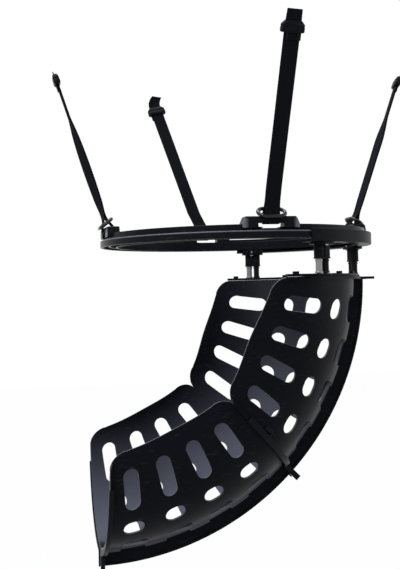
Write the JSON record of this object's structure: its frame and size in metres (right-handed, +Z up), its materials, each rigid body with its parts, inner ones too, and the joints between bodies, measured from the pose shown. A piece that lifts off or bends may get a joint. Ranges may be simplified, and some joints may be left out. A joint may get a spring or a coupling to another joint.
{
  "type": "basketball return chute",
  "caption": "Ball return for a basketball hoop: a slotted curved chute swivels under a round ring that hangs from the hoop's rim on adjustable webbing straps.",
  "frame": {"origin": "centre of the circle of the hoop's rim, level with the strap buckles, on the ring's axis", "axes": "+Z up along the ring's and the swivel's axis; -X the way the chute's exit points; +Y to the back"},
  "size_m": [0.6232, 0.6597, 0.8529],
  "materials": {
    "ring_plastic": "satin black moulded plastic",
    "carriage_plastic": "satin black moulded plastic",
    "chute_plastic": "satin black moulded plastic",
    "keel_plastic": "matt black moulded plastic",
    "strip_plastic": "satin black extruded plastic",
    "webbing": "black woven webbing",
    "oval_ring_metal": "glossy black coated wire",
    "buckle_plastic": "black moulded plastic",
    "sleeve_plastic": "satin black moulded plastic",
    "glide_plastic": "off-white low-friction plastic",
    "screw_steel": "dull steel",
    "stud_dark": "black coated metal",
    "stud_pale": "bare grey metal"
  },
  "bodies": {
    "hanger": {"ring": "ring_plastic"},
    "chute": {"carriage_channel": "carriage_plastic", "front_glide_pad": "glide_plastic", "front_sleeve_block": "sleeve_plastic", "front_carriage_screw_inner": "screw_steel", "front_carriage_screw_outer": "screw_steel", "front_stud_left": "stud_dark", "front_stud_right": "stud_pale", "middle_glide_pad": "glide_plastic", "middle_sleeve_block": "sleeve_plastic", "middle_carriage_screw_inner": "screw_steel", "middle_carriage_screw_outer": "screw_steel", "middle_stud_left": "stud_dark", "middle_stud_right": "stud_dark", "back_glide_pad": "glide_plastic", "back_sleeve_block": "sleeve_plastic", "back_carriage_screw_inner": "screw_steel", "back_carriage_screw_outer": "screw_steel", "back_stud_left": "stud_pale", "back_stud_right": "stud_dark", "chute_collar": "carriage_plastic", "upper_front_panel": "chute_plastic", "upper_back_panel": "chute_plastic", "upper_keel": "keel_plastic", "lower_front_panel": "chute_plastic", "lower_back_panel": "chute_plastic", "lower_keel": "keel_plastic", "top_lock_strip_front": "strip_plastic", "top_lock_strip_back": "strip_plastic", "joint_lock_strip_front": "strip_plastic", "joint_lock_strip_back": "strip_plastic", "exit_lock_strip_front": "strip_plastic", "exit_lock_strip_back": "strip_plastic", "joint_latch_front": "strip_plastic", "joint_latch_back": "strip_plastic"},
    "front_strap_body": {"front_strap": "webbing", "front_oval_ring": "oval_ring_metal"},
    "right_strap_body": {"right_strap": "webbing", "right_oval_ring": "oval_ring_metal"},
    "back_strap_body": {"back_strap": "webbing", "back_oval_ring": "oval_ring_metal"},
    "left_strap_body": {"left_strap": "webbing", "left_oval_ring": "oval_ring_metal"},
    "front_buckle_body": {"front_buckle": "buckle_plastic"},
    "right_buckle_body": {"right_buckle": "buckle_plastic"},
    "back_buckle_body": {"back_buckle": "buckle_plastic"},
    "left_buckle_body": {"left_buckle": "buckle_plastic"}
  },
  "joints": [
    {"name": "chute_swivel", "type": "hinge", "parent": "hanger", "child": "chute", "pos_m": [0, 0, -0.275], "axis": [0, 0, 1], "continuous": true},
    {"name": "front_strap_swing", "type": "hinge", "parent": "hanger", "child": "front_strap_body", "pos_m": [0, -0.21735, -0.2588], "axis": [1, 0, 0], "range_deg": [-20, 15], "deforming": ["front_strap"]},
    {"name": "right_strap_swing", "type": "hinge", "parent": "hanger", "child": "right_strap_body", "pos_m": [0.21735, 0, -0.2588], "axis": [0, 1, 0], "range_deg": [-20, 15], "deforming": ["right_strap"]},
    {"name": "back_strap_swing", "type": "hinge", "parent": "hanger", "child": "back_strap_body", "pos_m": [0, 0.21735, -0.2588], "axis": [-1, 0, 0], "range_deg": [-20, 15], "deforming": ["back_strap"]},
    {"name": "left_strap_swing", "type": "hinge", "parent": "hanger", "child": "left_strap_body", "pos_m": [-0.21735, 0, -0.2588], "axis": [0, -1, 0], "range_deg": [-20, 15], "deforming": ["left_strap"]},
    {"name": "front_buckle_slide", "type": "slide", "parent": "front_strap_body", "child": "front_buckle_body", "axis": [0.0344, -0.3614, 0.9318], "range_m": [-0.04, 0]},
    {"name": "right_buckle_slide", "type": "slide", "parent": "right_strap_body", "child": "right_buckle_body", "axis": [0.3351, 0, 0.9422], "range_m": [-0.04, 0]},
    {"name": "back_buckle_slide", "type": "slide", "parent": "back_strap_body", "child": "back_buckle_body", "axis": [-0.2302, 0.3484, 0.9086], "range_m": [-0.04, 0]},
    {"name": "left_buckle_slide", "type": "slide", "parent": "left_strap_body", "child": "left_buckle_body", "axis": [-0.307, 0, 0.9517], "range_m": [-0.04, 0]}
  ]
}
